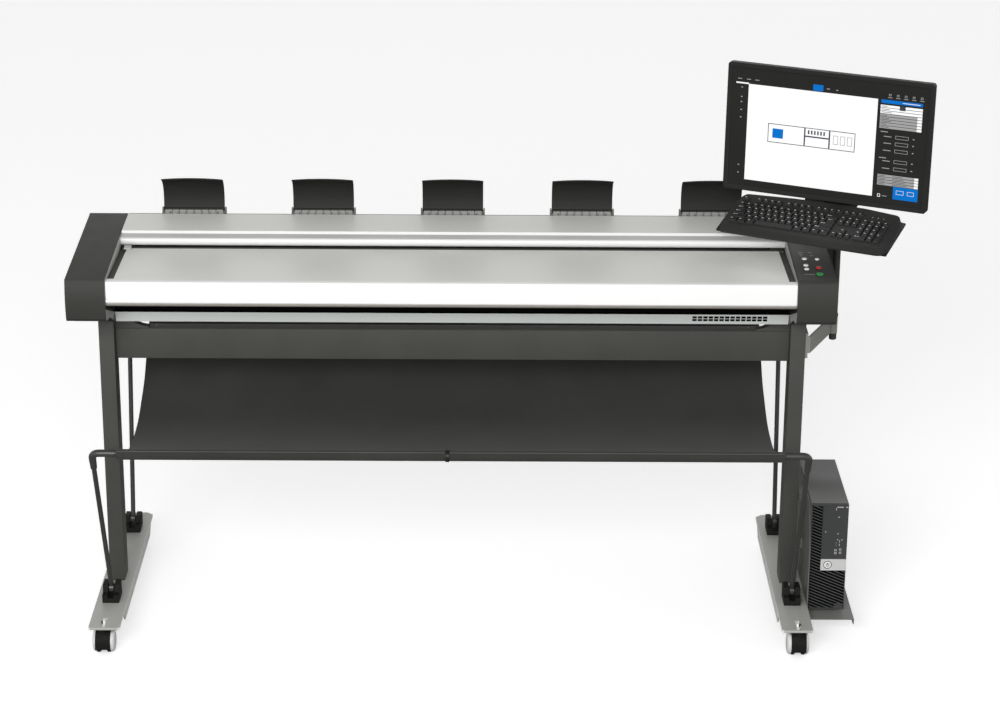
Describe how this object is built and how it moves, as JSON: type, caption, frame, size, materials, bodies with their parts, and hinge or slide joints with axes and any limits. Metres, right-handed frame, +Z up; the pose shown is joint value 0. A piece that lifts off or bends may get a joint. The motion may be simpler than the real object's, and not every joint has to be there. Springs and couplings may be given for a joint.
{
  "type": "wide-format sheet-fed scanner",
  "caption": "Wide sheet-fed document scanner on a wheeled stand, with a cloth catch basket, fold-back paper guides, a swivelling monitor and keyboard arm and a computer shelf.",
  "frame": {"origin": "on the floor under the middle of the bounding box of the whole station", "axes": "+X along the scanner toward the console and computer; -Y toward the operator, who feeds sheets toward +Y; +Z up"},
  "size_m": [2.1056, 0.7879, 1.4245],
  "materials": {
    "dark_metal": "satin dark grey powder coat",
    "charcoal_plastic": "fine-grained charcoal moulding",
    "black_plastic": "matt black moulding",
    "light_paint": "light grey powder coat",
    "light_plastic": "light grey moulding",
    "silver": "brushed and anodised",
    "tube": "dark anodised tube",
    "fabric": "woven dark grey nylon",
    "rubber": "ground matt rubber",
    "steel": "plain machined",
    "glass": "clear float glass",
    "screen": "anti-glare panel",
    "post": "satin grey tube",
    "white_button": "smooth",
    "red_button": "smooth",
    "green_button": "smooth",
    "board": "solder-mask green",
    "pc_paint": "satin grey paint on sheet; density set for case and contents"
  },
  "bodies": {
    "stand": {"foot_left": "light_paint", "leg_left": "dark_metal", "basket_pivot_front_left": "black_plastic", "basket_pivot_rear_left": "black_plastic", "end_cap_left": "charcoal_plastic", "foot_right": "light_paint", "leg_right": "dark_metal", "basket_pivot_front_right": "black_plastic", "basket_pivot_rear_right": "black_plastic", "end_cap_right": "charcoal_plastic", "cross_beam": "dark_metal", "basket_frame_rear": "tube", "catch_fabric": "fabric", "chassis": "silver", "feed_table": "silver", "platen": "dark_metal", "scan_glass": "glass", "optics_bar": "black_plastic", "drive_motor": "steel", "drive_belt": "rubber", "control_board": "board", "rear_cover": "light_plastic", "pc_shelf": "dark_metal", "pc_case": "pc_paint", "pc_bezel": "black_plastic", "console_bracket": "dark_metal"},
    "caster_front_left": {"caster_hood_front_left": "black_plastic"},
    "wheels_front_left": {"caster_wheels_front_left": "light_plastic"},
    "caster_front_right": {"caster_hood_front_right": "black_plastic"},
    "wheels_front_right": {"caster_wheels_front_right": "light_plastic"},
    "caster_rear_left": {"caster_hood_rear_left": "black_plastic"},
    "wheels_rear_left": {"caster_wheels_rear_left": "light_plastic"},
    "caster_rear_right": {"caster_hood_rear_right": "black_plastic"},
    "wheels_rear_right": {"caster_wheels_rear_right": "light_plastic"},
    "basket_front": {"basket_arm_front_left": "tube", "basket_arm_front_right": "tube", "basket_bar_front": "tube"},
    "lid": {"scan_lid": "silver"},
    "guide_1": {"paper_guide_1": "charcoal_plastic"},
    "guide_2": {"paper_guide_2": "charcoal_plastic"},
    "guide_3": {"paper_guide_3": "charcoal_plastic"},
    "guide_4": {"paper_guide_4": "charcoal_plastic"},
    "guide_5": {"paper_guide_5": "charcoal_plastic"},
    "console": {"console_post": "post", "console_mount": "dark_metal", "keyboard_tray": "charcoal_plastic", "keyboard": "black_plastic"},
    "monitor": {"monitor_bezel": "charcoal_plastic", "monitor_screen": "screen", "monitor_shell": "charcoal_plastic"},
    "roller_front": {"feed_roller_front": "rubber"},
    "roller_rear": {"feed_roller_rear": "rubber"},
    "pulley": {"motor_pulley": "steel"},
    "key_feed": {"button_feed": "white_button"},
    "key_eject": {"button_eject": "white_button"},
    "key_copy": {"button_copy": "white_button"},
    "key_store": {"button_store": "white_button"},
    "key_stop": {"button_stop": "red_button"},
    "key_start": {"button_start": "green_button"},
    "power_key": {"pc_power_button": "steel"}
  },
  "joints": [
    {"name": "caster_swivel_front_left", "type": "hinge", "parent": "stand", "child": "caster_front_left", "pos_m": [-0.9873, -0.3068, 0.06], "axis": [0, 0, 1], "continuous": true},
    {"name": "wheel_roll_front_left", "type": "hinge", "parent": "caster_front_left", "child": "wheels_front_left", "pos_m": [-0.9873, -0.2938, 0.02974], "axis": [1, 0, 0], "continuous": true},
    {"name": "caster_swivel_front_right", "type": "hinge", "parent": "stand", "child": "caster_front_right", "pos_m": [0.7507, -0.3068, 0.06], "axis": [0, 0, 1], "continuous": true},
    {"name": "wheel_roll_front_right", "type": "hinge", "parent": "caster_front_right", "child": "wheels_front_right", "pos_m": [0.7507, -0.2938, 0.02974], "axis": [1, 0, 0], "continuous": true},
    {"name": "caster_swivel_rear_left", "type": "hinge", "parent": "stand", "child": "caster_rear_left", "pos_m": [-0.9873, 0.3492, 0.06], "axis": [0, 0, 1], "continuous": true},
    {"name": "wheel_roll_rear_left", "type": "hinge", "parent": "caster_rear_left", "child": "wheels_rear_left", "pos_m": [-0.9873, 0.3622, 0.02974], "axis": [1, 0, 0], "continuous": true},
    {"name": "caster_swivel_rear_right", "type": "hinge", "parent": "stand", "child": "caster_rear_right", "pos_m": [0.7507, 0.3492, 0.06], "axis": [0, 0, 1], "continuous": true},
    {"name": "wheel_roll_rear_right", "type": "hinge", "parent": "caster_rear_right", "child": "wheels_rear_right", "pos_m": [0.7507, 0.3622, 0.02974], "axis": [1, 0, 0], "continuous": true},
    {"name": "basket_fold", "type": "hinge", "parent": "stand", "child": "basket_front", "pos_m": [-0.1183, -0.1648, 0.115], "axis": [-1, 0, 0], "range_deg": [0, 30], "deforming": ["catch_fabric"]},
    {"name": "lid_lift", "type": "hinge", "parent": "stand", "child": "lid", "pos_m": [-0.1183, 0.2142, 0.984], "axis": [-1, 0, 0], "range_deg": [0, 15]},
    {"name": "guide_fold_1", "type": "hinge", "parent": "stand", "child": "guide_1", "pos_m": [-0.7863, 0.2332, 1.0015], "axis": [-1, 0, 0], "range_deg": [0, 70]},
    {"name": "guide_fold_2", "type": "hinge", "parent": "stand", "child": "guide_2", "pos_m": [-0.4538, 0.2332, 1.0015], "axis": [-1, 0, 0], "range_deg": [0, 70]},
    {"name": "guide_fold_3", "type": "hinge", "parent": "stand", "child": "guide_3", "pos_m": [-0.1213, 0.2332, 1.0015], "axis": [-1, 0, 0], "range_deg": [0, 70]},
    {"name": "guide_fold_4", "type": "hinge", "parent": "stand", "child": "guide_4", "pos_m": [0.2112, 0.2332, 1.0015], "axis": [-1, 0, 0], "range_deg": [0, 70]},
    {"name": "guide_fold_5", "type": "hinge", "parent": "stand", "child": "guide_5", "pos_m": [0.5437, 0.2332, 1.0015], "axis": [-1, 0, 0], "range_deg": [0, 70]},
    {"name": "console_swivel", "type": "hinge", "parent": "stand", "child": "console", "pos_m": [0.857, 0.1062, 0.766], "axis": [0, 0, 1], "range_deg": [0, 75]},
    {"name": "monitor_tilt", "type": "hinge", "parent": "console", "child": "monitor", "pos_m": [0.82869, 0.06736, 1.26054], "axis": [-0.9063, 0.4226, 0], "range_deg": [-5, 20]},
    {"name": "roller_front_spin", "type": "hinge", "parent": "stand", "child": "roller_front", "pos_m": [-0.1183, 0.0652, 0.94523], "axis": [1, 0, 0], "continuous": true},
    {"name": "roller_rear_spin", "type": "hinge", "parent": "stand", "child": "roller_rear", "pos_m": [-0.1183, 0.1872, 0.94523], "axis": [1, 0, 0], "continuous": true},
    {"name": "pulley_spin", "type": "hinge", "parent": "stand", "child": "pulley", "pos_m": [-1.0133, 0.1262, 0.88], "axis": [1, 0, 0], "continuous": true},
    {"name": "key_feed_press", "type": "slide", "parent": "stand", "child": "key_feed", "axis": [0, 0, -1], "range_m": [0, 0.0012], "stiffness_N_per_m": 400},
    {"name": "key_eject_press", "type": "slide", "parent": "stand", "child": "key_eject", "axis": [0, 0, -1], "range_m": [0, 0.0012], "stiffness_N_per_m": 400},
    {"name": "key_copy_press", "type": "slide", "parent": "stand", "child": "key_copy", "axis": [0, 0, -1], "range_m": [0, 0.0012], "stiffness_N_per_m": 400},
    {"name": "key_store_press", "type": "slide", "parent": "stand", "child": "key_store", "axis": [0, 0, -1], "range_m": [0, 0.0012], "stiffness_N_per_m": 400},
    {"name": "key_stop_press", "type": "slide", "parent": "stand", "child": "key_stop", "axis": [0, 0, -1], "range_m": [0, 0.0012], "stiffness_N_per_m": 400},
    {"name": "key_start_press", "type": "slide", "parent": "stand", "child": "key_start", "axis": [0, 0, -1], "range_m": [0, 0.0012], "stiffness_N_per_m": 400},
    {"name": "power_key_press", "type": "slide", "parent": "stand", "child": "power_key", "axis": [0, 1, 0], "range_m": [0, 0.0014], "stiffness_N_per_m": 500}
  ],
  "couplings": [
    {"joint": "roller_rear_spin", "follows": "roller_front_spin", "ratio": 1},
    {"joint": "pulley_spin", "follows": "roller_front_spin", "ratio": 1.2778}
  ]
}
